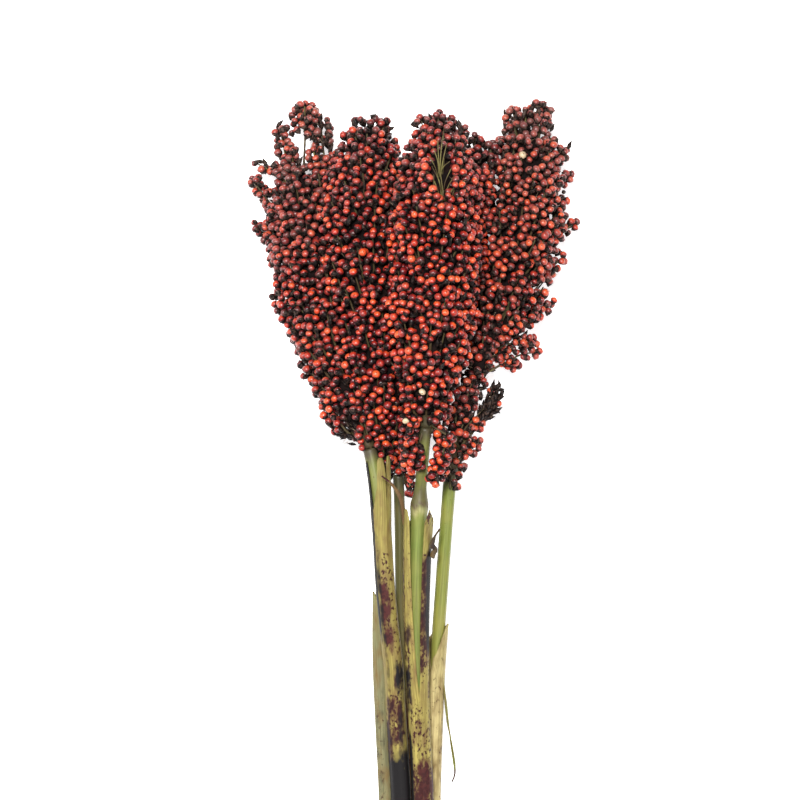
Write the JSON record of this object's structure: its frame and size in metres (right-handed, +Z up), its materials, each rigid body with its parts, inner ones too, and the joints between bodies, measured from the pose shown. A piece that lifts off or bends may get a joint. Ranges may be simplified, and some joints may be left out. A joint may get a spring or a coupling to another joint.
{
  "type": "sorghum seed head bunch",
  "caption": "Cut bunch of ripe sorghum lying on its back: dense seed heads of red grains on leafy stalks with dry sheaths, tied with twine.",
  "frame": {"origin": "on the surface that the bunch lies on, under the middle of its box", "axes": "+Y from the cut ends of the stems to the tips of the heads, +Z up, the side that the picture shows faces up"},
  "size_m": [0.1864, 0.4684, 0.0986],
  "materials": {
    "grain": "satin red-brown seed coat",
    "stalk": "smooth waxy green stem",
    "sheath": "dry papery leaf with dark blotches",
    "twine": "matt twisted plant fibre"
  },
  "bodies": {
    "root": {"head_front": "grain", "head_left": "grain", "head_right": "grain", "head_middle_left": "grain", "head_middle_right": "grain", "stalk_front": "stalk", "stalk_left": "stalk", "stalk_right": "stalk", "stalk_middle_left": "stalk", "stalk_middle_right": "stalk", "sheath_front": "sheath", "sheath_left": "sheath", "sheath_right": "sheath", "sheath_middle_left": "sheath", "sheath_middle_right": "sheath", "tie": "twine"}
  },
  "joints": []
}
